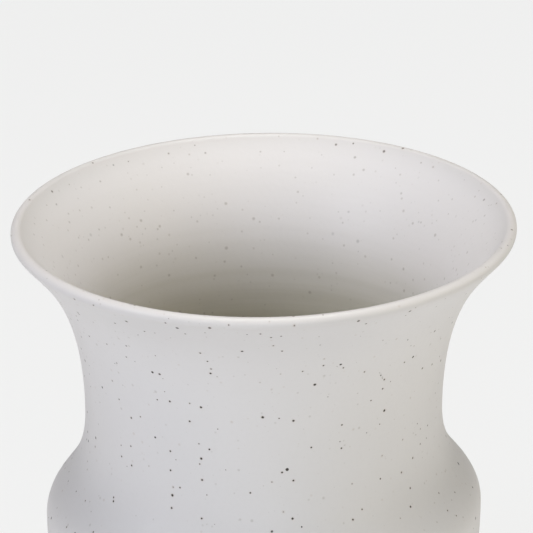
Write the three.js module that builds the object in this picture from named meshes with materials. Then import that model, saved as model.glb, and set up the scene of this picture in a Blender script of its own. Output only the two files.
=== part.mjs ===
// A stoneware vase with a round belly and a tall flaring collar, about 24 cm high.
// It is made in thrown sections: a bare foot ring, a base dish, the lower and the upper belly,
// the shoulder, the neck, the flared mouth and a rolled lip. They are luted together at stepped
// joints, under one coat of matt glaze that runs from the edge of the base, over the lip and
// down to the floor inside. Four bumpers under the foot ring carry it.
// Millimetres, +Z up, origin on the axis at the height of the surface that the vase stands on.

import * as THREE from "three";

// Outside sizes of the glazed vase
const RIM_RADIUS = 100;
const WAIST_RADIUS = 72.3;
const BELLY_RADIUS = 89.1;
const BASE_RADIUS = 58; // edge of the base dish, above the foot ring
const BELLY_HEIGHT = 115.2; // from the table to the widest ring
const SHOULDER_RISE = 44.7; // from the widest ring to the waist
const COLLAR_RISE = 80.1; // from the waist to the top of the lip

// Walls and layers
const WALL = 4.8; // clay, glaze on both faces and the gaps between them
const GLAZE = 0.5;
const FLOOR = 6; // clay under the inside of the vase
const HEEL = 14; // how far above the floor the inside of the wall begins to turn in
const GAP = 0.3; // clearance between any two pieces that touch

// Luted joints between clay pieces
const TONGUE_LENGTH = 4; // how far the inner half of a wall reaches into the piece above
const LOWER_BELLY_LENGTH = 44; // how much of the wall above the base belongs to the lower belly
const NECK_LENGTH = 46; // how much of the wall above the waist belongs to the neck
const LIP_LENGTH = 8; // how much of the wall below the lip belongs to it
const FOOT_TONGUE_WIDTH = 3;
const FOOT_TONGUE_HEIGHT = 2;

// Foot and bumpers
const FOOT_INSET = 2; // how far the foot ring stands in from the edge of the base
const FOOT_TAPER = 1.2; // how much narrower the ring is where it stands
const FOOT_RISE = 7; // height of the foot ring below the base dish
const FOOT_WIDTH = 9.5;
const FOOT_CHAMFER = 0.9;
const BARE_CLAY = 1.5; // unglazed edge of the base dish, measured along the wall
const BUMPER_COUNT = 4;
const BUMPER_RADIUS = 3.4;
const BUMPER_THICKNESS = 1.5;

// Curvature: each handle is a share of the rise of its own stretch of the outline
const BASE_FLARE = THREE.MathUtils.degToRad(40); // lean of the wall where it leaves the base
const BASE_HANDLE = 0.3;
const BELLY_HANDLE_BELOW = 0.45;
const BELLY_HANDLE_ABOVE = 0.28;
const WAIST_HANDLE_BELOW = 0.67;
const WAIST_HANDLE_ABOVE = 0.62;
const RIM_HANDLE = 0.205;
const RIM_FLARE = THREE.MathUtils.degToRad(40); // lean of the wall where it meets the lip

// Unevenness of the throwing: height gained per millimetre towards +X
const BELLY_SLOPE = 0.032;
const WAIST_SLOPE = 0.018;
const RIM_SLOPE = 0.013;

// Fineness of the solids
const SIDES = 40;
const BELLY_STEPS = 6;
const SHOULDER_STEPS = 7;
const COLLAR_STEPS = 7;
const LIP_STEPS = 5;
const HEEL_STEPS = 3;
const BUMPER_SIDES = 20;

// Heights that follow from the sizes above
const footBottom = BUMPER_THICKNESS + GAP;
const footTop = footBottom + FOOT_RISE;
const dishBottom = footTop + GAP;
const floorTop = dishBottom + FLOOR + GAP + GLAZE;
const heelTop = floorTop + HEEL;
const waistHeight = BELLY_HEIGHT + SHOULDER_RISE;
const totalHeight = waistHeight + COLLAR_RISE;
const footRadius = BASE_RADIUS - FOOT_INSET;

// Depths below the outer glazed face
const clayOuter = GLAZE + GAP;
const clayMiddle = WALL / 2;
const clayInner = WALL - clayOuter;

const materials = {
  clay: new THREE.MeshStandardMaterial({ color: 0xb9aa95, roughness: 0.9, metalness: 0 }),
  glaze: new THREE.MeshStandardMaterial({ color: 0xe2dedb, roughness: 0.5, metalness: 0 }),
  silicone: new THREE.MeshStandardMaterial({ color: 0xc4c6c6, roughness: 0.6, metalness: 0 }),
};

/** A place on a face: its point, and the normal that leaves the material there. */
function station(point, direction) {
  return { point, normal: new THREE.Vector2(direction.y, -direction.x).normalize() };
}

/** Stations at even parameters along a curve, without its first one if skipFirst is true. */
function stationsAlong(curve, steps, skipFirst = false) {
  const stations = [];
  for (let step = skipFirst ? 1 : 0; step <= steps; step += 1) {
    stations.push(station(curve.getPoint(step / steps), curve.getTangent(step / steps)));
  }
  return stations;
}

function sunk({ point, normal }, depth) {
  return point.clone().addScaledVector(normal, -depth);
}

function cubic(...points) {
  return new THREE.CubicBezierCurve(...points.map(([x, y]) => new THREE.Vector2(x, y)));
}

/** The outer glazed face from the edge of the base to the start of the lip. */
function outerFace() {
  const lipCentre = new THREE.Vector2(RIM_RADIUS - WALL / 2, totalHeight - WALL / 2);
  const lipStart = lipCentre.clone().add(
    new THREE.Vector2(Math.cos(RIM_FLARE), -Math.sin(RIM_FLARE)).multiplyScalar(WALL / 2),
  );
  const bellyRise = BELLY_HEIGHT - dishBottom;
  const baseHandle = BASE_HANDLE * bellyRise;
  const rimHandle = RIM_HANDLE * COLLAR_RISE;
  const belly = cubic(
    [BASE_RADIUS, dishBottom],
    [
      BASE_RADIUS + baseHandle * Math.sin(BASE_FLARE),
      dishBottom + baseHandle * Math.cos(BASE_FLARE),
    ],
    [BELLY_RADIUS, BELLY_HEIGHT - BELLY_HANDLE_BELOW * bellyRise],
    [BELLY_RADIUS, BELLY_HEIGHT],
  );
  const shoulder = cubic(
    [BELLY_RADIUS, BELLY_HEIGHT],
    [BELLY_RADIUS, BELLY_HEIGHT + BELLY_HANDLE_ABOVE * SHOULDER_RISE],
    [WAIST_RADIUS, waistHeight - WAIST_HANDLE_BELOW * SHOULDER_RISE],
    [WAIST_RADIUS, waistHeight],
  );
  const collar = cubic(
    [WAIST_RADIUS, waistHeight],
    [WAIST_RADIUS, waistHeight + WAIST_HANDLE_ABOVE * COLLAR_RISE],
    [
      lipStart.x - rimHandle * Math.sin(RIM_FLARE),
      lipStart.y - rimHandle * Math.cos(RIM_FLARE),
    ],
    [lipStart.x, lipStart.y],
  );
  const stations = [
    ...stationsAlong(belly, BELLY_STEPS),
    ...stationsAlong(shoulder, SHOULDER_STEPS, true),
    ...stationsAlong(collar, COLLAR_STEPS, true),
  ];
  return { stations, lipCentre };
}

const { stations: outside, lipCentre } = outerFace();

// Distance along the outer face, in chords, from the edge of the base to each station
const distances = [0];
for (let index = 1; index < outside.length; index += 1) {
  const chord = outside[index].point.distanceTo(outside[index - 1].point);
  distances.push(distances[index - 1] + chord);
}
const wallLength = distances.at(-1);

/** Index of the chord that holds a value of a rising list, and how far along it the value is. */
function onChord(list, value) {
  let index = 0;
  while (index < list.length - 2 && list[index + 1] <= value) {
    index += 1;
  }
  return { index, share: (value - list[index]) / (list[index + 1] - list[index]) };
}

function distanceAtHeight(height) {
  const heights = outside.map(({ point }) => point.y);
  const { index, share } = onChord(heights, height);
  return THREE.MathUtils.lerp(distances[index], distances[index + 1], share);
}

/** The point of the wall at a distance along it and a depth below its outer glazed face. */
function wallPoint(distance, depth) {
  const { index, share } = onChord(distances, distance);
  return sunk(outside[index], depth).lerp(sunk(outside[index + 1], depth), share);
}

/** Points of the wall at one depth, from one distance to another, in that order. */
function wallRun(from, to, depth) {
  const low = Math.min(from, to);
  const high = Math.max(from, to);
  const between = distances.filter((distance) => distance > low && distance < high);
  if (from > to) {
    between.reverse();
  }
  return [from, ...between, to].map((distance) => wallPoint(distance, depth));
}

/** The rolled lip at a depth below its face, as a half circle over the top of the wall. */
function lipRun(depth) {
  const points = [];
  for (let step = 1; step < LIP_STEPS; step += 1) {
    const angle = (Math.PI * step) / LIP_STEPS - RIM_FLARE;
    const across = new THREE.Vector2(Math.cos(angle), Math.sin(angle));
    points.push(lipCentre.clone().addScaledVector(across, WALL / 2 - depth));
  }
  return points;
}

/** The turn from the inside of the wall to the floor, at a depth below the inner glazed face. */
function heelRun(depth) {
  const from = wallPoint(distanceAtHeight(heelTop), WALL);
  const above = wallPoint(distanceAtHeight(heelTop) + HEEL, WALL);
  const down = from.clone().sub(above).normalize();
  const reach = from.y - floorTop;
  const turn = cubic(
    [from.x, from.y],
    [from.x + (down.x * reach) / 2, from.y + (down.y * reach) / 2],
    [from.x - reach / 2, floorTop],
    [from.x - 1.2 * reach, floorTop],
  );
  return stationsAlong(turn, HEEL_STEPS, true).map((place) => sunk(place, depth));
}

// Each joint is the distance along the wall of the seam that shows on the outer clay face
const joints = {
  base: distanceAtHeight(heelTop),
  belly: distanceAtHeight(heelTop) + LOWER_BELLY_LENGTH,
  widest: distanceAtHeight(BELLY_HEIGHT),
  waist: distanceAtHeight(waistHeight),
  neck: distanceAtHeight(waistHeight) + NECK_LENGTH,
  lip: wallLength - LIP_LENGTH,
};

/** Top of the piece below a joint, from the outer face to the inner: a seat, then a tongue. */
function tongueEnd(joint) {
  return [
    wallPoint(joint, clayMiddle + GAP / 2),
    wallPoint(joint + TONGUE_LENGTH, clayMiddle + GAP / 2),
  ];
}

/** Bottom of the piece above a joint, from the inner face to the outer: a seat, then a skirt. */
function skirtEnd(joint) {
  return [
    wallPoint(joint + TONGUE_LENGTH + GAP, clayMiddle - GAP / 2),
    wallPoint(joint + GAP, clayMiddle - GAP / 2),
  ];
}

/** A ring of wall between two joints, as a closed section. */
function wallSection(lower, upper) {
  return [
    ...wallRun(lower + GAP, upper, clayOuter),
    ...tongueEnd(upper),
    ...wallRun(upper + TONGUE_LENGTH, lower + TONGUE_LENGTH + GAP, clayInner),
    ...skirtEnd(lower),
  ];
}

/** The rolled lip with the last of the wall below it, as a closed section. */
function lipSection() {
  return [
    ...wallRun(joints.lip + GAP, wallLength, clayOuter),
    ...lipRun(clayOuter),
    ...wallRun(wallLength, joints.lip + TONGUE_LENGTH + GAP, clayInner),
    ...skirtEnd(joints.lip),
  ];
}

/** Radii of the foot ring that the base dish and the bumpers take their places from. */
function footRadii() {
  const inner = footRadius - FOOT_WIDTH;
  const middle = (footRadius - FOOT_TAPER + inner) / 2;
  return {
    inner,
    middle,
    tongueInner: middle - FOOT_TONGUE_WIDTH / 2,
    tongueOuter: middle + FOOT_TONGUE_WIDTH / 2,
  };
}

const foot = footRadii();

/** The foot ring: chamfered where it stands, with a tongue on top that fits the dish. */
function footSection() {
  const tongueTop = footTop + FOOT_TONGUE_HEIGHT;
  return [
    new THREE.Vector2(footRadius - FOOT_TAPER - FOOT_CHAMFER, footBottom),
    new THREE.Vector2(footRadius - FOOT_TAPER, footBottom + FOOT_CHAMFER),
    new THREE.Vector2(footRadius, footTop),
    new THREE.Vector2(foot.tongueOuter, footTop),
    new THREE.Vector2(foot.tongueOuter, tongueTop),
    new THREE.Vector2(foot.tongueInner, tongueTop),
    new THREE.Vector2(foot.tongueInner, footTop),
    new THREE.Vector2(foot.inner, footTop),
    new THREE.Vector2(foot.inner, footBottom + FOOT_CHAMFER),
    new THREE.Vector2(foot.inner + FOOT_CHAMFER, footBottom),
  ];
}

/** The base dish: grooved below for the foot ring, turned up at the edge, from axis to axis. */
function dishSection() {
  const grooveTop = dishBottom + FOOT_TONGUE_HEIGHT;
  const edge = wallPoint(0, clayOuter);
  return [
    new THREE.Vector2(0, dishBottom),
    new THREE.Vector2(foot.tongueInner - GAP, dishBottom),
    new THREE.Vector2(foot.tongueInner - GAP, grooveTop),
    new THREE.Vector2(foot.tongueOuter + GAP, grooveTop),
    new THREE.Vector2(foot.tongueOuter + GAP, dishBottom),
    new THREE.Vector2(edge.x - FOOT_CHAMFER, dishBottom),
    ...wallRun(0, joints.base, clayOuter),
    ...tongueEnd(joints.base),
    ...wallRun(joints.base + TONGUE_LENGTH, joints.base, clayInner),
    ...heelRun(clayOuter),
    new THREE.Vector2(0, floorTop - clayOuter),
  ];
}

/** The glazed skin at a depth, from just above the foot, over the lip, to the floor's centre. */
function glazeRun(depth) {
  return [
    ...wallRun(BARE_CLAY, wallLength, depth),
    ...lipRun(depth),
    ...wallRun(wallLength, joints.base, WALL - depth),
    ...heelRun(depth),
    new THREE.Vector2(0, floorTop - depth),
  ];
}

/** The glaze coat, as a section from the axis to the axis. */
function glazeSection() {
  return [...glazeRun(GLAZE).reverse(), ...glazeRun(0)];
}

/** How much a ring at a height rises for each millimetre towards +X. */
function slopeAt(height) {
  const heights = [heelTop, BELLY_HEIGHT, waistHeight, totalHeight];
  const slopes = [0, BELLY_SLOPE, WAIST_SLOPE, RIM_SLOPE];
  const { index, share } = onChord(heights, height);
  const eased = THREE.MathUtils.smoothstep(share, 0, 1);
  return THREE.MathUtils.lerp(slopes[index], slopes[index + 1], eased);
}

/** Tips every ring of a solid a little, as the whole pot was tipped in the throwing. */
function tipped(geometry) {
  const position = geometry.attributes.position;
  for (let index = 0; index < position.count; index += 1) {
    const height = position.getZ(index);
    position.setZ(index, height + slopeAt(height) * position.getX(index));
  }
  return geometry;
}

/** A solid of revolution about Z from a section that runs from axis to axis. */
function turned(section) {
  return new THREE.LatheGeometry(section, SIDES).rotateX(Math.PI / 2);
}

/** A ring about Z from a closed section. */
function turnedRing(section) {
  return turned([...section, section[0]]);
}

function mesh(name, geometry, material) {
  const piece = new THREE.Mesh(geometry, material);
  piece.name = name;
  return piece;
}

/** A clay ring of wall between two joints. */
function wallRing(name, lower, upper) {
  return mesh(name, tipped(turnedRing(wallSection(lower, upper))), materials.clay);
}

const vase = new THREE.Group();

vase.add(
  mesh("foot_ring", tipped(turnedRing(footSection())), materials.clay),
  mesh("base_dish", tipped(turned(dishSection())), materials.clay),
  wallRing("lower_belly", joints.base, joints.belly),
  wallRing("upper_belly", joints.belly, joints.widest),
  wallRing("shoulder", joints.widest, joints.waist),
  wallRing("neck", joints.waist, joints.neck),
  wallRing("flared_mouth", joints.neck, joints.lip),
  mesh("rolled_lip", tipped(turnedRing(lipSection())), materials.clay),
  mesh("glaze_coat", tipped(turned(glazeSection())), materials.glaze),
);

// Bumpers stand on the table, spread evenly under the flat of the foot ring
for (let index = 0; index < BUMPER_COUNT; index += 1) {
  const angle = (2 * Math.PI * (index + 0.5)) / BUMPER_COUNT;
  const disc = new THREE.CylinderGeometry(
    BUMPER_RADIUS,
    BUMPER_RADIUS,
    BUMPER_THICKNESS,
    BUMPER_SIDES,
  ).rotateX(Math.PI / 2);
  const bumper = mesh(`bumper_${index + 1}`, disc, materials.silicone);
  bumper.position.set(
    foot.middle * Math.cos(angle),
    foot.middle * Math.sin(angle),
    BUMPER_THICKNESS / 2,
  );
  vase.add(bumper);
}

export default vase;
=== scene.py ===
"""A speckled stoneware vase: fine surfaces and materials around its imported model.

The vase is a pot of thrown clay rings under one matt glaze coat. Every surface is a profile
turned about the Z axis, worked out with numpy from three Bezier curves, and then tipped a
little, ring by ring, as the pot was tipped in the throwing. Metres, +Z up.
"""

import math

import bpy
import numpy as np
from bpy.props import FloatProperty, FloatVectorProperty, IntProperty, PointerProperty
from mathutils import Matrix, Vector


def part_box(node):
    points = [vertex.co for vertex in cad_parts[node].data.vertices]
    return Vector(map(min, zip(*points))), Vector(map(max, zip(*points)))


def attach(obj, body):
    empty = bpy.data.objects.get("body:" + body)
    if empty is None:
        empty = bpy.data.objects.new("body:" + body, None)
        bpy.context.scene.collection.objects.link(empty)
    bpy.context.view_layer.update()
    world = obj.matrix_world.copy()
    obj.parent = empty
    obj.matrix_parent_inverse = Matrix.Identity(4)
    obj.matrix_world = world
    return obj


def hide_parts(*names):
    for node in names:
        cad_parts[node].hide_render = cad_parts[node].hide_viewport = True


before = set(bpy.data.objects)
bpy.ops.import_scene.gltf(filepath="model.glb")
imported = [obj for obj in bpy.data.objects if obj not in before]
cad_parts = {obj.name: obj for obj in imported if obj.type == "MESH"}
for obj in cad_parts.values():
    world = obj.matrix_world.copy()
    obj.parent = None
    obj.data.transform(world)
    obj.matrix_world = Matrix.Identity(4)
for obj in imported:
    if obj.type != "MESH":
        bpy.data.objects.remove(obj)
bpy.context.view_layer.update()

bl_info = {
    "name": "Speckled Stoneware Vase",
    "version": (1, 0, 0),
    "blender": (4, 5, 0),
    "location": "3D View > Sidebar > Vase",
    "description": "Builds a thrown stoneware vase with a speckled matt glaze",
    "category": "Add Mesh",
}

MM = 0.001
GAP = 0.3 * MM  # clearance between clay pieces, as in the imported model
HAIR = 0.02 * MM  # smaller clearance where a shown piece closes up to its neighbour
INSET = 0.03 * MM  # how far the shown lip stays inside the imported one
FOOT_TONGUE_WIDTH = 3 * MM
COAT_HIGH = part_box("glaze_coat")[1]
FOOT_LOW, FOOT_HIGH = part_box("foot_ring")
DISH_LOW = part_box("base_dish")[0]
BUMPERS = sorted(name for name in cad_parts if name.startswith("bumper_"))


# ---------------------------------------------------------------------------- sizes and colours


def length(name, description, default):
    """A size in metres that a user may change."""
    return FloatProperty(
        name=name, description=description, default=default, min=0.0, precision=5, unit="LENGTH"
    )


def colour(name, description, default):
    """A linear colour that a user may change."""
    return FloatVectorProperty(
        name=name, description=description, default=default, subtype="COLOR", size=3, max=1.0
    )


class VaseShape(bpy.types.PropertyGroup):
    """Sizes of the pot, in metres."""

    rim_radius: length("Rim radius", "Outside of the lip", COAT_HIGH.x - INSET)
    waist_radius: length("Waist radius", "Outside of the waist", 72.3 * MM)
    belly_radius: length("Belly radius", "Outside of the widest ring", 89.1 * MM)
    base_radius: length("Base radius", "Edge of the base above the foot", 58 * MM)
    base_height: length("Base height", "Underside of the base dish", DISH_LOW.z)
    belly_height: length("Belly height", "Height of the widest ring", 115.2 * MM)
    waist_height: length("Waist height", "Height of the waist", 159.9 * MM)
    rim_height: length("Rim height", "Height of the lip's top", 239.92 * MM)
    wall: length("Wall", "Thickness of the glazed wall", 4.8 * MM)
    glaze: length("Glaze", "Thickness of the glaze coat", 0.5 * MM)
    floor: length("Floor", "Thickness of the clay floor", 6 * MM)
    heel: length("Heel", "Height over which the wall turns into the floor", 14 * MM)
    tongue: length("Tongue", "Reach of one clay ring into the next", 4 * MM)
    bare_edge: length("Bare edge", "Unglazed clay at the edge of the base", 1.5 * MM)
    foot_radius: length("Foot radius", "Outside of the foot ring at its top", FOOT_HIGH.x)
    foot_bottom: length("Foot bottom", "Where the foot ring stands", FOOT_LOW.z)
    foot_width: length("Foot width", "Width of the foot ring", 9.5 * MM)
    foot_taper: length("Foot taper", "How much the foot ring narrows downwards", 1.2 * MM)
    sides: IntProperty(name="Sides", description="Steps around", default=224, min=24, max=288)


class VaseFinish(bpy.types.PropertyGroup):
    """Colours and grain of the glaze, the clay and the bumpers, with painted light and shade inside
    the glaze.
    """

    glaze_colour: colour("Glaze", "Matt glaze over the clay", (0.622, 0.593, 0.580))
    # The lip's colour is partly thin glaze and partly painted shade on the upward-facing lip.
    glaze_thin_and_lip_shade: colour("Thin glaze", "Glaze where it is thinnest, on the lip", (0.578, 0.546, 0.528))
    # Thick glaze is painted light on the wall high inside the mouth, lighter than the glaze outside.
    glaze_inside_painted_light: colour("Thick glaze", "Glaze that pooled inside the mouth", (0.660, 0.630, 0.620))
    # Deep glaze is painted shade deep inside the hollow, tinted warm like light that has bounced
    # between its walls.
    glaze_painted_deep_shade: colour("Deep glaze", "Thin glaze deep inside", (0.518, 0.486, 0.330))
    spot_colour: colour("Iron spot", "Middle of an iron spot", (0.030, 0.020, 0.014))
    freckle_colour: colour("Freckle", "Iron that lies under the glaze", (0.30, 0.265, 0.225))
    clay_colour: colour("Clay", "Fired clay without glaze", (0.455, 0.375, 0.285))
    clay_dark: colour("Dark clay", "Toasted patches of the clay", (0.335, 0.255, 0.180))
    bumper_colour: colour("Bumper", "Frosted silicone", (0.56, 0.57, 0.57))
    spot_radius: length("Spot radius", "Largest radius of a common iron spot", 0.56 * MM)
    spot_spacing: length("Spot spacing", "Distance between iron grains in the clay", 3.9 * MM)
    blot_radius: length("Blot radius", "Largest radius of a rare, large spot", 0.8 * MM)
    blot_spacing: length("Blot spacing", "Distance between rare, large grains", 10 * MM)
    freckle_radius: length("Freckle radius", "Largest radius of a freckle", 0.6 * MM)
    freckle_spacing: length("Freckle spacing", "Distance between freckles", 4.6 * MM)


class VaseStage(bpy.types.PropertyGroup):
    """The camera, the floor and the lights."""

    lens: FloatProperty(name="Lens", description="Focal length in millimetres", default=203.55)
    distance: length("Distance", "From the camera to its target", 1.2)
    elevation: FloatProperty(
        name="Elevation",
        description="Height of the camera above the horizon",
        default=math.radians(22.74),
        subtype="ANGLE",
    )
    target_drop: length("Target drop", "How far the target lies below the lip", 20.6 * MM)
    target_side: length("Target side", "How far the target lies to the right", 1.15 * MM)
    floor_colour: colour("Floor", "Pale floor", (1.0, 1.0, 0.995))


# --------------------------------------------------------------------------------- the profile


def bezier(corners, count):
    """Points and unit directions of a cubic Bezier curve at count + 1 even parameters."""
    a, b, c, d = (np.asarray(corner, float) for corner in corners)
    t = np.linspace(0.0, 1.0, count + 1)[:, None]
    u = 1.0 - t
    points = u**3 * a + 3 * u**2 * t * b + 3 * u * t**2 * c + t**3 * d
    ways = u**2 * (b - a) + 2 * u * t * (c - b) + t**2 * (d - c)
    return points, ways / np.linalg.norm(ways, axis=1, keepdims=True)


def leaving(ways):
    """Normals that leave the material, on the right of a path that climbs the outside."""
    return np.stack([ways[:, 1], -ways[:, 0]], axis=1)


class Profile:
    """Half section of the glazed pot, as radius and height, from which every layer is cut.

    The outer face is a chain of three cubic Bezier curves: from the base to the widest ring,
    from there to the waist, and from the waist to the lip, where a half circle turns it over.
    The inside is the same chain moved inwards by the wall, with one more Bezier into the floor.
    """

    BASE_FLARE = math.radians(40)
    RIM_FLARE = math.radians(40)
    BASE_HANDLE, BELLY_BELOW = 0.3, 0.45
    BELLY_ABOVE, WAIST_BELOW = 0.28, 0.67
    WAIST_ABOVE, RIM_HANDLE = 0.62, 0.205
    BELLY_SLOPE, WAIST_SLOPE, RIM_SLOPE = 0.032, 0.018, 0.013
    LOWER_BELLY, NECK, LIP = 44 * MM, 46 * MM, 8 * MM
    STEPS = (60, 42, 56)  # along each curve of the outer face

    def __init__(self, shape):
        self.shape = shape
        self.lip_centre = np.array([shape.rim_radius, shape.rim_height]) - shape.wall / 2
        parts = [bezier(curve, steps) for curve, steps in zip(self.curves(), self.STEPS)]
        keep = [slice(0, None), slice(1, None), slice(1, None)]
        self.points = np.concatenate([p[cut] for (p, _), cut in zip(parts, keep)])
        self.normals = leaving(np.concatenate([w[cut] for (_, w), cut in zip(parts, keep)]))
        chords = np.linalg.norm(np.diff(self.points, axis=0), axis=1)
        self.distances = np.concatenate([[0.0], np.cumsum(chords)])
        self.length = self.distances[-1]
        self.floor_top = shape.base_height + shape.floor + GAP + shape.glaze
        self.heel_top = self.floor_top + shape.heel
        self.clay_outer = shape.glaze + GAP
        self.clay_inner = shape.wall - self.clay_outer
        heel, waist = self.at_height(self.heel_top), self.at_height(shape.waist_height)
        self.joints = {
            "base": heel,
            "belly": heel + self.LOWER_BELLY,
            "widest": self.at_height(shape.belly_height),
            "waist": waist,
            "neck": waist + self.NECK,
            "lip": self.length - self.LIP,
        }

    def curves(self):
        """Corners of the three Bezier curves of the outer face, from the base to the lip."""
        shape = self.shape
        rise = shape.belly_height - shape.base_height
        shoulder = shape.waist_height - shape.belly_height
        collar = shape.rim_height - shape.waist_height
        flare = np.array([math.sin(self.BASE_FLARE), math.cos(self.BASE_FLARE)])
        rim = np.array([math.sin(self.RIM_FLARE), math.cos(self.RIM_FLARE)])
        base = np.array([shape.base_radius, shape.base_height])
        lip = self.lip_centre + shape.wall / 2 * np.array([rim[1], -rim[0]])
        belly, waist = shape.belly_radius, shape.waist_radius
        return (
            (
                base,
                base + self.BASE_HANDLE * rise * flare,
                (belly, shape.belly_height - self.BELLY_BELOW * rise),
                (belly, shape.belly_height),
            ),
            (
                (belly, shape.belly_height),
                (belly, shape.belly_height + self.BELLY_ABOVE * shoulder),
                (waist, shape.waist_height - self.WAIST_BELOW * shoulder),
                (waist, shape.waist_height),
            ),
            (
                (waist, shape.waist_height),
                (waist, shape.waist_height + self.WAIST_ABOVE * collar),
                lip - self.RIM_HANDLE * collar * rim,
                lip,
            ),
        )

    def at_height(self, height):
        """Distance along the outer face where it reaches a height."""
        return float(np.interp(height, self.points[:, 1], self.distances))

    def wall_point(self, distance, depth):
        """Points of the wall at distances along it and depths below its outer glazed face.

        Each is a point of the outer face minus the depth times the normal there.
        """
        distance = np.atleast_1d(distance)
        both = np.concatenate([self.points, self.normals], axis=1)
        found = [np.interp(distance, self.distances, column) for column in both.T]
        across, up, normal_across, normal_up = found
        return np.stack([across - depth * normal_across, up - depth * normal_up], axis=1)

    def wall_run(self, start, stop, depth, every=1):
        """The wall at one depth, from one distance to another, at every nth station between."""
        low, high = sorted((start, stop))
        between = self.distances[(self.distances > low) & (self.distances < high)][::every]
        between = between if start < stop else between[::-1]
        return self.wall_point(np.concatenate([[start], between, [stop]]), depth)

    def lip_run(self, depth, steps=14):
        """A half circle over the top of the wall, at a depth below its face."""
        angle = np.linspace(0.0, math.pi, steps + 1)[1:-1] - self.RIM_FLARE
        across = np.stack([np.cos(angle), np.sin(angle)], axis=1)
        return self.lip_centre + (self.shape.wall / 2 - depth) * across

    def heel_run(self, depth, steps=18):
        """The inside of the wall bending into the floor, as one cubic Bezier, at a depth."""
        start = self.wall_point(self.joints["base"], self.shape.wall)[0]
        above = self.wall_point(self.joints["base"] + self.shape.heel, self.shape.wall)[0]
        down = (start - above) / np.linalg.norm(start - above)
        reach = start[1] - self.floor_top
        turn = (
            start,
            start + down * reach / 2,
            (start[0] - reach / 2, self.floor_top),
            (start[0] - 1.2 * reach, self.floor_top),
        )
        points, ways = bezier(turn, steps)
        return (points - depth * leaving(ways))[1:]

    def slope(self, height):
        """How much a ring at a height rises for each metre towards +X."""
        shape = self.shape
        heights = (self.heel_top, shape.belly_height, shape.waist_height, shape.rim_height)
        slopes = (0.0, self.BELLY_SLOPE, self.WAIST_SLOPE, self.RIM_SLOPE)
        place = np.interp(height, heights, (0.0, 1.0, 2.0, 3.0))
        part = np.minimum(place.astype(int), 2)
        eased = place - part
        eased = eased * eased * (3 - 2 * eased)
        low, high = np.take(slopes, part), np.take(slopes, part + 1)
        return low + (high - low) * eased


# ------------------------------------------------------------------------------------- meshes


def grid_mesh(name, points, poles, sharp=math.radians(40), **marks):
    """A closed mesh from a grid of points, sides around by stations along.

    Every station is a ring of points. With poles, the first and the last station lie on the
    axis and are one point each; otherwise the last station joins the first. A path that climbs
    the outside has the material on its left. Each mark is one number per station, and becomes
    a float attribute.
    """
    sides, stations = points.shape[:2]
    around = np.arange(sides)[:, None]
    beside = (around + 1) % sides
    if poles:
        rings, count = points[:, 1:-1], stations - 2
        vertices = np.concatenate([rings.reshape(-1, 3), points[0, [0, -1]]])
        along = np.arange(count - 1)[None, :]
        after = along + 1
        foot = np.full_like(around, sides * count)
        head, end = foot + 1, count - 1
        fans = [
            np.concatenate([foot, beside * count, around * count], axis=1),
            np.concatenate([around * count + end, beside * count + end, head], axis=1),
        ]
    else:
        count, vertices, fans = stations, points.reshape(-1, 3), []
        along = np.arange(count)[None, :]
        after = (along + 1) % count
    quads = np.stack(
        [
            around * count + along,
            beside * count + along,
            beside * count + after,
            around * count + after,
        ],
        axis=-1,
    ).reshape(-1, 4)
    faces = quads.tolist()
    for fan in fans:
        faces += fan.tolist()
    mesh = bpy.data.meshes.new(name)
    mesh.from_pydata(vertices.tolist(), [], faces)
    for mark, values in marks.items():
        if poles:
            spread = np.concatenate([np.tile(values[1:-1], sides), values[[0, -1]]])
        else:
            spread = np.tile(values, sides)
        attribute = mesh.attributes.new(mark, "FLOAT", "POINT")
        attribute.data.foreach_set("value", spread.astype(np.float32))
    mesh.shade_smooth()
    mesh.set_sharp_from_angle(angle=sharp)
    return mesh


def angles(sides):
    """The angle of each side of a turned mesh, as a column."""
    return np.arange(sides)[:, None] * (2 * math.pi / sides)


def turned(profile, section, sides, relief=None):
    """A section of radius and height turned about Z, then tipped ring by ring.

    A point at angle a is (r cos a, r sin a, z + slope(z) r cos a). The relief, if any, is an
    array of moves in radius and height, one for each angle and station.
    """
    angle = angles(sides)
    radius = np.repeat(section[None, :, 0], sides, axis=0)
    height = np.repeat(section[None, :, 1], sides, axis=0)
    if relief is not None:
        radius = radius + relief[..., 0]
        height = height + relief[..., 1]
    across = radius * np.cos(angle)
    tipped = height + profile.slope(height) * across
    return np.stack([across, radius * np.sin(angle), tipped], axis=-1)


def softened(corners, steps=6):
    """An outline with each corner (radius, height, softness) rounded by a quadratic curve.

    The curve starts and ends at the softness from the corner, along the edges that meet there.
    """
    corners = np.asarray(corners, float)
    spots, soft = corners[:, :2], corners[:, 2]
    t = np.linspace(0.0, 1.0, steps + 1)[:, None]
    pieces = []
    for index, (spot, reach) in enumerate(zip(spots, soft)):
        if reach == 0:
            pieces.append(spot[None])
            continue
        back, ahead = spots[index - 1] - spot, spots[(index + 1) % len(spots)] - spot
        start = spot + reach * back / np.linalg.norm(back)
        stop = spot + reach * ahead / np.linalg.norm(ahead)
        pieces.append((1 - t) ** 2 * start + 2 * (1 - t) * t * spot + t**2 * stop)
    return np.concatenate(pieces)


def add_piece(name, mesh, material, nodes):
    """A shown piece of the vase that rides on its one body and stands for its CAD nodes."""
    mesh.materials.append(material)
    piece = bpy.data.objects.new(name, mesh)
    bpy.context.scene.collection.objects.link(piece)
    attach(piece, "root")
    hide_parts(*nodes)
    return piece


# ---------------------------------------------------------------------------------- materials


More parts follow.
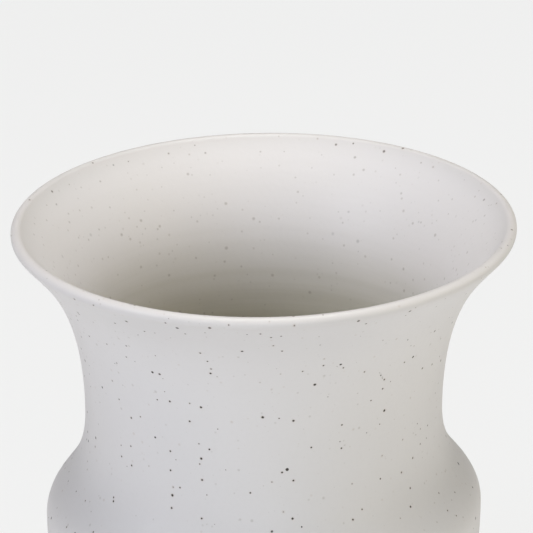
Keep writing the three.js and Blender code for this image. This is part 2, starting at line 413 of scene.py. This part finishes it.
class Value:
    """A socket of a material's nodes, with which sums are written as Python expressions."""

    def __init__(self, paint, socket):
        self.paint = paint
        self.socket = socket

    def maths(self, operation, first, second):
        return self.paint.node("ShaderNodeMath", {"operation": operation}, [first, second])

    def __add__(self, other):
        return self.maths("ADD", self, other)

    def __mul__(self, other):
        return self.maths("MULTIPLY", self, other)

    def __sub__(self, other):
        return self.maths("SUBTRACT", self, other)

    def __rsub__(self, other):
        return self.maths("SUBTRACT", other, self)

    def __truediv__(self, other):
        return self.maths("DIVIDE", self, other)

    def __rtruediv__(self, other):
        return self.maths("DIVIDE", other, self)

    __radd__ = __add__
    __rmul__ = __mul__

    def held(self):
        """The value kept between 0 and 1."""
        return self.paint.node("ShaderNodeClamp", {}, [self, 0.0, 1.0])

    def output(self, name):
        """Another output of the node that this value comes from."""
        return Value(self.paint, self.socket.node.outputs[name])


class Paint:
    """One material and the nodes that are added to it."""

    def __init__(self, name):
        self.material = bpy.data.materials.new(name)
        self.material.use_nodes = True
        self.tree = self.material.node_tree
        self.shader = self.tree.nodes["Principled BSDF"]

    def node(self, kind, settings, inputs, output=0):
        """Adds a node: its settings first, then its sockets, by place or by name."""
        node = self.tree.nodes.new(kind)
        for setting, value in settings.items():
            setattr(node, setting, value)
        items = inputs.items() if isinstance(inputs, dict) else enumerate(inputs)
        for key, value in items:
            self.feed(node.inputs[key], value)
        return Value(self, node.outputs[output])

    def feed(self, socket, value):
        """Links a value to a socket, or sets the socket's own number or colour."""
        if isinstance(value, Value):
            self.tree.links.new(value.socket, socket)
        elif socket.type == "RGBA" and len(value) == 3:
            socket.default_value = (*value, 1.0)
        else:
            socket.default_value = value

    def place(self):
        """Object coordinates, in metres."""
        return self.node("ShaderNodeTexCoord", {}, [], "Object")

    def mark(self, name):
        """A float attribute of the mesh."""
        return self.node("ShaderNodeAttribute", {"attribute_name": name}, [], "Fac")

    def scaled(self, place, scale, shift=(0.0, 0.0, 0.0)):
        """Coordinates multiplied along each axis, then moved."""
        settings = {"operation": "MULTIPLY_ADD"}
        return self.node("ShaderNodeVectorMath", settings, [place, scale, shift])

    def wandering(self, place, scale, reach):
        """Coordinates moved a little by noise, which makes outlines ragged."""
        moves = self.node("ShaderNodeTexNoise", {}, {"Vector": place, "Scale": scale}, "Color")
        return self.scaled(moves, (reach, reach, reach), place)

    def noise(self, place, scale, detail=3.0, roughness=0.5):
        """Smooth noise from 0 to 1."""
        inputs = {"Vector": place, "Scale": scale, "Detail": detail, "Roughness": roughness}
        return self.node("ShaderNodeTexNoise", {}, inputs)

    def blend(self, amount, low, high):
        """The colour low where the amount is 0 and high where it is 1."""
        settings = {"data_type": "RGBA"}
        return self.node("ShaderNodeMix", settings, {0: amount, 6: low, 7: high}, 2)

    def spots(self, place, spacing, radius, soft, shift):
        """Round spots where iron grains of many sizes, spread through space, meet the surface.

        A spot is full inside its own radius, which is the stated one times a random share of
        its grain, and fades over the stated softness.
        """
        moved = self.scaled(place, (1.0, 1.0, 1.0), (shift, 0.37 * shift, -0.61 * shift))
        inputs = {"Vector": moved, "Scale": 1 / spacing, "Randomness": 1.0}
        grain = self.node("ShaderNodeTexVoronoi", {}, inputs, "Distance")
        chance = self.node("ShaderNodeSeparateColor", {}, [grain.output("Color")])
        size = (chance * chance * 0.75 + 0.25) * radius
        return ((size - grain * spacing) / soft + 0.5).held()

    def finish(self, colour, roughness, height, depth):
        """Feeds the shader, with a bump of a depth in metres from a height from 0 to 1."""
        self.feed(self.shader.inputs["Base Color"], colour)
        self.feed(self.shader.inputs["Roughness"], roughness)
        settings = {"Height": height, "Distance": depth, "Strength": 1.0}
        self.feed(self.shader.inputs["Normal"], self.node("ShaderNodeBump", {}, settings))
        return self.material


def toned(colour, share):
    """A colour with its channels multiplied by one share, or by one share each."""
    return tuple(np.multiply(tuple(colour), share).clip(0.0, 1.0).tolist())


def glaze_body(paint, place, mottle, finish):
    """The glaze without its iron: faint clouds, painted light high inside, painted shade deep inside
    and of the throwing rings there, the lip's thin glaze with painted shade, and bare clay at the
    glaze edge.
    """
    inside, deep = paint.mark("inside"), paint.mark("deep")
    clouds = paint.noise(place, 17.0, 3.0)
    # Noise stretched into rings, for painted shade of the throwing rings.
    ring_shade_noise = paint.noise(paint.scaled(place, (8.0, 8.0, 330.0)), 1.0, 4.0, 0.6)
    cool = toned(finish.glaze_colour, (0.955, 0.965, 0.975))
    body = paint.blend(clouds, cool, toned(finish.glaze_colour, 1.03))
    body = paint.blend((mottle - 0.5).held() * 0.10, body, tuple(finish.freckle_colour))
    # Painted light high inside the mouth, fading out deep inside.
    body = paint.blend(inside - deep, body, tuple(finish.glaze_inside_painted_light))
    # Painted shade deep inside the hollow.
    body = paint.blend(deep * 0.6, body, tuple(finish.glaze_painted_deep_shade))
    # Painted shade of the throwing rings, faint high inside and strongest deep inside, in a darker
    # copy of the deep shade.
    shade = (ring_shade_noise - 0.42).held() * (inside * 0.08 + deep * 0.85)
    body = paint.blend(shade, body, toned(finish.glaze_painted_deep_shade, 0.72))
    # The lip: thin glaze and painted shade.
    body = paint.blend((paint.mark("lip") * 0.85).held(), body, tuple(finish.glaze_thin_and_lip_shade))
    return paint.blend((paint.mark("edge") * 0.55).held(), body, tuple(finish.clay_colour))


def speckled(paint, place, body, finish):
    """A glaze with iron in it, softer inside: freckles, dust, spots with halos, and blots.

    Gives the colour, and how much iron lies bare at the surface.
    """
    inside, lip = paint.mark("inside"), paint.mark("lip")
    freckle = tuple(finish.freckle_colour)
    freckles = paint.spots(place, finish.freckle_spacing, finish.freckle_radius, 0.45 * MM, 0.11)
    body = paint.blend(freckles * (0.36 - inside * 0.2), body, freckle)
    dust = paint.spots(place, 2.3 * MM, 0.2 * MM, 0.2 * MM, 0.29)
    body = paint.blend(dust * (0.28 - inside * 0.16), body, freckle)
    halo = paint.spots(place, finish.spot_spacing, finish.spot_radius * 1.5, 0.4 * MM, 0.0)
    body = paint.blend(halo * (0.22 - inside * 0.1), body, (0.33, 0.22, 0.13))
    blur = inside * (0.60 * MM) + 0.10 * MM
    spots = paint.spots(place, finish.spot_spacing, finish.spot_radius, blur, 0.0)
    blots = paint.spots(place, finish.blot_spacing, finish.blot_radius, blur, 0.53)
    iron = (spots + blots).held()
    strength = 1.0 - inside * 0.68 - lip * 0.3
    return paint.blend(iron * strength, body, tuple(finish.spot_colour)), iron


def speckled_glaze(finish):
    """White matt glaze with iron freckles in it and iron spots on it."""
    paint = Paint("speckled_glaze")
    place = paint.place()
    mottle = paint.noise(place, 620.0, 2.0)
    body = glaze_body(paint, place, mottle, finish)
    body, iron = speckled(paint, paint.wandering(place, 900.0, 0.22 * MM), body, finish)
    roughness = 0.5 + (paint.noise(place, 90.0) - 0.5) * 0.16 - iron * 0.1
    height = paint.noise(place, 420.0, 2.0) * 0.7 + mottle * 0.3 - iron * 0.5
    return paint.finish(body, roughness, height, 0.05 * MM)


def fired_clay(finish):
    """Bare fired clay: toasted patches, fine grog, iron grains, sand and turning marks.

    The turning marks are the sine of the distance from the axis.
    """
    paint = Paint("fired_clay")
    place = paint.place()
    patches = paint.noise(place, 34.0, 4.0, 0.6)
    grog = paint.noise(place, 1500.0, 3.0, 0.7)
    body = paint.blend(patches, tuple(finish.clay_colour), tuple(finish.clay_dark))
    body = paint.blend((grog - 0.45).held() * 1.6, body, toned(finish.clay_colour, 1.35))
    grains = paint.spots(place, 2.6 * MM, 0.3 * MM, 0.12 * MM, 0.07)
    body = paint.blend(grains * 0.8, body, (0.08, 0.05, 0.035))
    sand = paint.spots(place, 1.5 * MM, 0.3 * MM, 0.15 * MM, 0.31)
    body = paint.blend(sand * 0.35, body, (0.62, 0.55, 0.46))
    flat = paint.scaled(place, (1.0, 1.0, 0.0))
    radius = paint.node("ShaderNodeVectorMath", {"operation": "LENGTH"}, [flat], "Value")
    marks = paint.node("ShaderNodeMath", {"operation": "SINE"}, [radius * 4200.0])
    roughness = 0.86 + (patches - 0.5) * 0.12
    height = grog * 0.6 + sand * 0.5 - grains * 0.4 + marks * 0.12
    return paint.finish(body, roughness, height, 0.12 * MM)


def clay_material(context):
    """The fired clay, made once and shared by all clay pieces."""
    return bpy.data.materials.get("fired_clay") or fired_clay(context.scene.vase_finish)


def frosted_silicone(finish):
    """Frosted silicone with a little dust on it."""
    paint = Paint("frosted_silicone")
    place = paint.place()
    dust = paint.noise(place, 700.0, 3.0, 0.6)
    milk = paint.noise(place, 160.0, 2.0)
    body = paint.blend(milk, toned(finish.bumper_colour, 0.9), tuple(finish.bumper_colour))
    body = paint.blend((dust - 0.5).held() * 0.9, body, (0.42, 0.39, 0.35))
    paint.shader.inputs["Subsurface Weight"].default_value = 0.35
    paint.shader.inputs["Subsurface Radius"].default_value = (0.0010, 0.0010, 0.0010)
    return paint.finish(body, 0.42 + dust * 0.25, dust, 0.03 * MM)


# ---------------------------------------------------------------------------------- operators


def fingers(distance, angle):
    """The spiral that fingers leave in throwing: three sines of the distance along the wall.

    Each sine also turns with the angle, a whole number of times, so that it winds upwards.
    """
    waves = (6.1 * MM, 1, 0.0, 0.5), (9.7 * MM, 1, 1.1, 0.35), (4.6 * MM, 2, 2.3, 0.15)
    total = 0.0
    for pitch, turns, start, amount in waves:
        total = total + amount * np.sin(2 * math.pi * distance / pitch + turns * angle + start)
    return total


def fading(values, start, stop):
    """0 before start, 1 after stop, and smooth between them."""
    part = np.clip((values - start) / (stop - start), 0.0, 1.0)
    return part * part * (3 - 2 * part)


class VASE_OT_glaze_coat(bpy.types.Operator):
    """Make the glaze coat, outside, over the lip and inside, in one piece."""

    bl_idname = "vase.glaze_coat"
    bl_label = "Glaze coat"

    EDGE = 0.9 * MM  # length of the rounded edge where the glaze stops
    ROLL = 0.12 * MM  # how far the glaze stands out where it stops
    FAINT, FIRM = 0.012 * MM, 0.13 * MM  # depth of the finger marks all over, and more deep inside

    def back(self, profile, seat):
        """The hidden side, from the floor's centre over the lip to the glaze edge outside."""
        wall, start = profile.shape.wall, profile.shape.bare_edge
        runs = [
            [(0.0, profile.floor_top - seat)],
            profile.heel_run(seat, 6)[::-1],
            profile.wall_run(profile.joints["base"], profile.length, wall - seat, 5),
            profile.lip_run(seat, 8)[::-1],
            profile.wall_run(profile.length, start, seat, 5),
        ]
        return np.concatenate(runs)

    def edge(self, profile, seat, steps=7):
        """A quarter ellipse from the clay out to the face of the glaze."""
        turn = np.linspace(0.0, math.pi / 2, steps + 1)[1:-1]
        distance = profile.shape.bare_edge + self.EDGE * (1 - np.cos(turn))
        depth = seat * (1 - np.sin(turn))
        return profile.wall_point(distance, depth)

    def face(self, profile):
        """The shown side, from the glaze edge outside to the floor's centre."""
        shape = profile.shape
        outer = profile.wall_run(shape.bare_edge + self.EDGE, profile.length, 0.0)
        lip = profile.lip_run(0.0)
        inner = profile.wall_run(profile.length, profile.joints["base"], shape.wall)
        heel = profile.heel_run(0.0)
        across = np.linspace(heel[-1, 0], 0.0, 15)[1:]
        floor = np.stack([across, np.full_like(across, profile.floor_top)], axis=1)
        return outer, lip, inner, np.concatenate([heel, floor])

    def marks(self, from_edge, from_lip, facing):
        """How far each station is inside, deep inside, on the lip and at the glaze edge."""
        past_edge = np.maximum(from_edge, 0.0)
        return {
            "inside": fading(from_lip, 0.0, 14 * MM),
            "deep": fading(from_lip, 35 * MM, 100 * MM),
            "lip": np.exp(-((from_lip / (4.2 * MM)) ** 2)) * facing,
            "edge": np.exp(-past_edge / (1.1 * MM)) * (from_edge >= 0),
        }

    def stand(self, from_edge, from_lip, facing, deep):
        """The depth of the finger marks, calm at the lip, and the roll of glaze at its edge."""
        calm = 1 - np.exp(-((from_lip / (12 * MM)) ** 2))
        roll = self.ROLL * np.exp(-(((from_edge - 1.3 * MM) / (0.9 * MM)) ** 2))
        return (self.FAINT + self.FIRM * deep) * calm * facing, roll * facing

    def execute(self, context):
        shape = context.scene.vase_shape
        profile = Profile(shape)
        seat = profile.clay_outer - HAIR
        back, edge = self.back(profile, seat), self.edge(profile, seat)
        outer, lip, inner, floor = self.face(profile)
        section = np.concatenate([back, edge, outer, lip, inner, floor])
        steps = np.linalg.norm(np.diff(section, axis=0), axis=1)
        along = np.concatenate([[0.0], np.cumsum(steps)])
        hidden, shown = len(back), len(back) + len(edge)
        first_lip, last_lip = shown + len(outer), shown + len(outer) + len(lip)
        from_edge = along - along[hidden - 1]
        from_lip = along - (along[first_lip] + along[last_lip]) / 2
        facing = np.arange(len(section)) >= shown
        marks = self.marks(from_edge, from_lip, facing)
        depth, roll = self.stand(from_edge, from_lip, facing, marks["deep"])
        depth *= fading(section[:, 0], 6 * MM, 30 * MM)
        stand = depth * fingers(along, angles(shape.sides)) + roll
        ways = np.gradient(section, axis=0)
        ways /= np.linalg.norm(ways, axis=1, keepdims=True)
        relief = stand[..., None] * leaving(ways)
        relief[:, [0, -1]] = 0.0
        points = turned(profile, section, shape.sides, relief)
        mesh = grid_mesh("matt_glaze_coat", points, True, **marks)
        paint = speckled_glaze(context.scene.vase_finish)
        add_piece("matt_glaze_coat", mesh, paint, ["glaze_coat"])
        return {"FINISHED"}


def tongue_end(profile, joint):
    """Top of the clay ring below a joint, from its outer to its inner face."""
    depth = profile.shape.wall / 2 + GAP / 2
    return profile.wall_point(np.array([joint, joint + profile.shape.tongue]), depth)


def skirt_end(profile, joint):
    """Bottom of the clay ring above a joint, from its inner to its outer face."""
    depth = profile.shape.wall / 2 - GAP / 2
    return profile.wall_point(np.array([joint + profile.shape.tongue + GAP, joint + GAP]), depth)


class VASE_OT_clay_rings(bpy.types.Operator):
    """Make the thrown clay rings of the wall and the rolled lip, which lie under the glaze."""

    bl_idname = "vase.clay_rings"
    bl_label = "Clay rings"

    SIDES = 120

    def ring(self, profile, lower, upper):
        """A ring of wall between two joints, as a closed section."""
        reach = profile.shape.tongue
        runs = [
            profile.wall_run(lower + GAP, upper, profile.clay_outer, 3),
            tongue_end(profile, upper),
            profile.wall_run(upper + reach, lower + reach + GAP, profile.clay_inner, 3),
            skirt_end(profile, lower),
        ]
        return np.concatenate(runs)

    def lip(self, profile, lower):
        """The rolled lip with the last of the wall, as a closed section."""
        reach = profile.shape.tongue
        runs = [
            profile.wall_run(lower + GAP, profile.length, profile.clay_outer, 3),
            profile.lip_run(profile.clay_outer, 10),
            profile.wall_run(profile.length, lower + reach + GAP, profile.clay_inner, 3),
            skirt_end(profile, lower),
        ]
        return np.concatenate(runs)

    def execute(self, context):
        profile = Profile(context.scene.vase_shape)
        joints = profile.joints
        rings = {
            "lower_belly": self.ring(profile, joints["base"], joints["belly"]),
            "upper_belly": self.ring(profile, joints["belly"], joints["widest"]),
            "shoulder": self.ring(profile, joints["widest"], joints["waist"]),
            "neck": self.ring(profile, joints["waist"], joints["neck"]),
            "flared_mouth": self.ring(profile, joints["neck"], joints["lip"]),
            "rolled_lip": self.lip(profile, joints["lip"]),
        }
        clay = clay_material(context)
        for node, section in rings.items():
            mesh = grid_mesh(f"thrown_{node}", turned(profile, section, self.SIDES), False)
            add_piece(f"thrown_{node}", mesh, clay, [node])
        return {"FINISHED"}


def tongue_radii(shape):
    """Inner and outer radius of the tongue on top of the foot ring."""
    inner = shape.foot_radius - shape.foot_width
    middle = (shape.foot_radius - shape.foot_taper + inner) / 2
    return middle - FOOT_TONGUE_WIDTH / 2, middle + FOOT_TONGUE_WIDTH / 2


class VASE_OT_foot_ring(bpy.types.Operator):
    """Make the bare foot ring, with sponged edges and a tongue that fits the base."""

    bl_idname = "vase.foot_ring"
    bl_label = "Foot ring"

    SPONGED = 1.0 * MM  # softness of the edges that stand on the bumpers
    SOFT = 0.25 * MM  # softness of the edges below the base

    def section(self, shape):
        """The ring's outline, from its inner edge below, up the outside and over the tongue."""
        bottom, top, head = shape.foot_bottom, shape.base_height - HAIR, FOOT_HIGH.z
        inner, outer = shape.foot_radius - shape.foot_width, shape.foot_radius
        tongue_inner, tongue_outer = tongue_radii(shape)
        corners = [
            (inner, bottom, self.SPONGED),
            (outer - shape.foot_taper, bottom, self.SPONGED),
            (outer, top, self.SOFT),
            (tongue_outer, top, 0.0),
            (tongue_outer, head, 0.2 * MM),
            (tongue_inner, head, 0.2 * MM),
            (tongue_inner, top, 0.0),
            (inner - 0.4 * MM, top, self.SOFT),
        ]
        return self.divided(softened(corners))

    def relief(self, shape, section):
        """Wear below, as two crossed sines of the angle, and a spiral left by the turning tool."""
        angle = angles(shape.sides)
        low = 1 - fading(section[:, 1], shape.foot_bottom + 1 * MM, shape.base_height - HAIR)
        wear = 0.05 * MM * low * np.sin(3 * angle + 0.4) * np.sin(7 * angle)
        turning = 0.035 * MM * np.sin(2 * math.pi * section[:, 1] / (1.15 * MM) + angle)
        outside = section[:, 0] > shape.foot_radius - 1.6 * MM
        across = wear + turning * outside
        return np.stack([across, np.zeros_like(across)], axis=-1)

    def execute(self, context):
        shape = context.scene.vase_shape
        section = self.section(shape)
        points = turned(Profile(shape), section, shape.sides, self.relief(shape, section))
        mesh = grid_mesh("turned_foot_ring", points, False)
        clay = clay_material(context)
        add_piece("turned_foot_ring", mesh, clay, ["foot_ring"])
        return {"FINISHED"}

    def divided(self, section, step=0.28 * MM):
        """The section with points added, so that none of its edges is longer than the step."""
        closed = np.concatenate([section, section[:1]])
        lengths = np.linalg.norm(np.diff(closed, axis=0), axis=1)
        along = np.concatenate([[0.0], np.cumsum(lengths)])
        extra = np.arange(0.0, along[-1], step)
        places = np.unique(np.concatenate([along[:-1], extra]).round(8))
        return np.stack([np.interp(places, along, closed[:, axis]) for axis in (0, 1)], axis=1)


class VASE_OT_base_dish(bpy.types.Operator):
    """Make the base dish: turned and slightly hollow below, grooved for the foot ring."""

    bl_idname = "vase.base_dish"
    bl_label = "Base dish"

    GROOVE = 2 * MM  # depth of the groove for the foot ring's tongue
    HOLLOW = 0.7 * MM  # how far the middle of the underside is lifted

    def underside(self, shape, stop):
        """From the axis out to the groove, lifted as 1 - r^2, with two sines of turning lines."""
        across = np.linspace(0.0, stop, 110)
        reach = 1 - np.clip(across / (shape.foot_radius - shape.foot_width), 0, 1) ** 2
        coarse = 0.05 * MM * np.sin(2 * math.pi * across / (2.1 * MM))
        fine = 0.025 * MM * np.sin(2 * math.pi * across / (0.83 * MM) + 1.0)
        return np.stack([across, shape.base_height + reach * (self.HOLLOW + coarse + fine)], axis=1)

    def section(self, shape, profile):
        """The whole outline: the underside, the groove, the outside, and back along the inside."""
        bottom, joint = shape.base_height, profile.joints["base"]
        groove_inner, groove_outer = tongue_radii(shape)
        edge = profile.wall_point(0.0, profile.clay_outer)[0]
        groove = [
            (groove_inner - GAP, bottom + self.GROOVE),
            (groove_outer + GAP, bottom + self.GROOVE),
            (groove_outer + GAP, bottom),
            (edge[0] - 1.1 * MM, bottom),
            (edge[0] - 0.45 * MM, bottom + 0.12 * MM),
        ]
        runs = [
            self.underside(shape, groove_inner - GAP),
            groove,
            profile.wall_run(0.0, joint, profile.clay_outer, 2),
            tongue_end(profile, joint),
            profile.wall_run(joint + shape.tongue, joint, profile.clay_inner, 3),
            profile.heel_run(profile.clay_outer, 8),
            [(0.0, profile.floor_top - profile.clay_outer)],
        ]
        return np.concatenate(runs)

    def execute(self, context):
        shape = context.scene.vase_shape
        profile = Profile(shape)
        points = turned(profile, self.section(shape, profile), shape.sides)
        mesh = grid_mesh("thrown_base_dish", points, True)
        clay = clay_material(context)
        add_piece("thrown_base_dish", mesh, clay, ["base_dish"])
        return {"FINISHED"}


class VASE_OT_bumpers(bpy.types.Operator):
    """Make the soft bumpers that are stuck under the foot ring."""

    bl_idname = "vase.bumpers"
    bl_label = "Bumpers"

    SIDES = 48

    def execute(self, context):
        shape = context.scene.vase_shape
        paint = frosted_silicone(context.scene.vase_finish)
        for number, node in enumerate(BUMPERS, 1):
            low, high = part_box(node)
            radius, top = (high.x - low.x) / 2, shape.foot_bottom
            section = softened(
                [
                    (0.0, 0.0, 0.0),
                    (radius - 0.35 * MM, 0.0, 0.25 * MM),
                    (radius, 0.55 * MM, 0.4 * MM),
                    (radius, top, 0.08 * MM),
                    (0.0, top, 0.0),
                ]
            )
            angle, ring = angles(self.SIDES), section[None, :, 0]
            x = (low.x + high.x) / 2 + ring * np.cos(angle)
            y = (low.y + high.y) / 2 + ring * np.sin(angle)
            z = np.broadcast_to(section[None, :, 1], x.shape)
            mesh = grid_mesh(f"soft_bumper_{number}", np.stack([x, y, z], axis=-1), True)
            add_piece(f"soft_bumper_{number}", mesh, paint, [node])
        return {"FINISHED"}


class VASE_OT_stage(bpy.types.Operator):
    """Make the pale floor, the soft lights and the camera."""

    bl_idname = "vase.stage"
    bl_label = "Stage"

    # Each lamp: name, turn from the front towards the right, height (degrees), watts, colour
    LAMPS = (
        ("top", 0, 90, 28.6, (1.0, 1.0, 0.98)),
        ("left", 300, 30, 15.4, (0.895, 0.925, 1.0)),
        ("front", 0, 10, 11.0, (0.78, 0.87, 1.0)),
        ("front_right", 50, 10, 6.3, (1.0, 0.95, 0.70)),
        ("right", 80, 30, 4.8, (1.0, 0.90, 0.68)),
        ("back_right", 115, 30, 3.9, (0.70, 0.81, 1.0)),
    )
    LAMP_DISTANCE, LAMP_SIZE = 1.8, 1.0
    FLOOR_GLOW = (0.618, 0.71)  # near the vase and far away, where the lamps light it less
    GLOW_NEAR, GLOW_FAR = 0.2, 1.1  # metres from the axis between which the glow changes
    FLOOR_HALF = 6.0  # half the side of the floor, in metres
    FLOOR_BASE = (0.25, 0.25, 0.25, 1.0)  # what the floor shows of the lamps' light
    WORLD = (0.8, 0.8, 0.8, 1.0)

    def camera(self, scene, stage, shape):
        """A camera in front of the pot, which looks down at a place a little below the lip."""
        data = bpy.data.cameras.new("camera")
        data.lens = stage.lens
        data.sensor_width = 36.0
        data.clip_start, data.clip_end = 0.01, 50.0
        camera = bpy.data.objects.new("camera", data)
        scene.collection.objects.link(camera)
        up = stage.elevation
        target = np.array([stage.target_side, 0.0, shape.rim_height - stage.target_drop])
        camera.location = target + stage.distance * np.array([0.0, -math.cos(up), math.sin(up)])
        camera.rotation_euler = (math.pi / 2 - up, 0.0, 0.0)
        scene.camera = camera

    def floor(self, scene, stage):
        """A square floor with a pale glow of its own, which keeps its tone even."""
        half = self.FLOOR_HALF
        corners = [(-half, -half, 0.0), (half, -half, 0.0), (half, half, 0.0), (-half, half, 0.0)]
        mesh = bpy.data.meshes.new("floor")
        mesh.from_pydata(corners, [], [(0, 1, 2, 3)])
        paint = Paint("floor")
        shader = paint.shader
        shader.inputs["Base Color"].default_value = self.FLOOR_BASE
        shader.inputs["Roughness"].default_value = 1.0
        shader.inputs["Specular IOR Level"].default_value = 0.0
        settings = {"operation": "LENGTH"}
        away = paint.node("ShaderNodeVectorMath", settings, [paint.place()], "Value")
        share = ((away - self.GLOW_NEAR) / (self.GLOW_FAR - self.GLOW_NEAR)).held()
        tone = tuple(stage.floor_colour)
        low, high = (tuple(channel * glow for channel in tone) for glow in self.FLOOR_GLOW)
        paint.feed(shader.inputs["Emission Color"], paint.blend(share, low, high))
        shader.inputs["Emission Strength"].default_value = 1.0
        mesh.materials.append(paint.material)
        floor = bpy.data.objects.new("floor", mesh)
        scene.collection.objects.link(floor)

    def lamps(self, scene, middle):
        """Square lamps around the middle of the pot, each turned to face it."""
        for name, turn, height, power, tint in self.LAMPS:
            data = bpy.data.lights.new(name, "AREA")
            data.size = self.LAMP_SIZE
            data.energy = power
            data.color = tint
            lamp = bpy.data.objects.new(name, data)
            scene.collection.objects.link(lamp)
            turn, height = math.radians(turn), math.radians(height)
            flat = math.cos(height)
            way = np.array([math.sin(turn) * flat, -math.cos(turn) * flat, math.sin(height)])
            lamp.location = middle + self.LAMP_DISTANCE * way
            lamp.rotation_euler = (math.pi / 2 - height, 0.0, turn)

    def world(self, scene):
        """A pale world that the camera sees and that lights nothing."""
        world = bpy.data.worlds.new("world")
        world.use_nodes = True
        world.node_tree.nodes["Background"].inputs["Color"].default_value = self.WORLD
        scene.world = world
        seen = world.cycles_visibility
        seen.diffuse = seen.glossy = seen.transmission = seen.scatter = False

    def execute(self, context):
        scene = context.scene
        stage, shape = scene.vase_stage, scene.vase_shape
        self.camera(scene, stage, shape)
        self.floor(scene, stage)
        self.lamps(scene, np.array([0.0, 0.0, shape.waist_height]))
        self.world(scene)
        scene.view_settings.view_transform = "Standard"
        scene.view_settings.look = "None"
        return {"FINISHED"}


class VASE_PT_panel(bpy.types.Panel):
    """Lists the steps that build the vase, and its sizes and colours."""

    bl_idname = "VASE_PT_panel"
    bl_label = "Stoneware Vase"
    bl_space_type = "VIEW_3D"
    bl_region_type = "UI"
    bl_category = "Vase"

    def draw(self, context):
        for operator in OPERATORS:
            self.layout.operator(operator.bl_idname)
        for group in (context.scene.vase_shape, context.scene.vase_finish, context.scene.vase_stage):
            box = self.layout.box()
            for name in group.bl_rna.properties.keys():
                if name not in ("rna_type", "name"):
                    box.prop(group, name)


OPERATORS = (
    VASE_OT_clay_rings,
    VASE_OT_base_dish,
    VASE_OT_foot_ring,
    VASE_OT_glaze_coat,
    VASE_OT_bumpers,
    VASE_OT_stage,
)
GROUPS = {"vase_shape": VaseShape, "vase_finish": VaseFinish, "vase_stage": VaseStage}


def register():
    for group in (*GROUPS.values(), *OPERATORS, VASE_PT_panel):
        bpy.utils.register_class(group)
    for name, group in GROUPS.items():
        setattr(bpy.types.Scene, name, PointerProperty(type=group))


def unregister():
    for name in GROUPS:
        delattr(bpy.types.Scene, name)
    for group in (VASE_PT_panel, *reversed(OPERATORS), *GROUPS.values()):
        bpy.utils.unregister_class(group)


def main():
    """Builds the vase and its stage."""
    register()
    for operator in OPERATORS:
        group, name = operator.bl_idname.split(".")
        getattr(getattr(bpy.ops, group), name)()


if __name__ == "__main__":
    main()
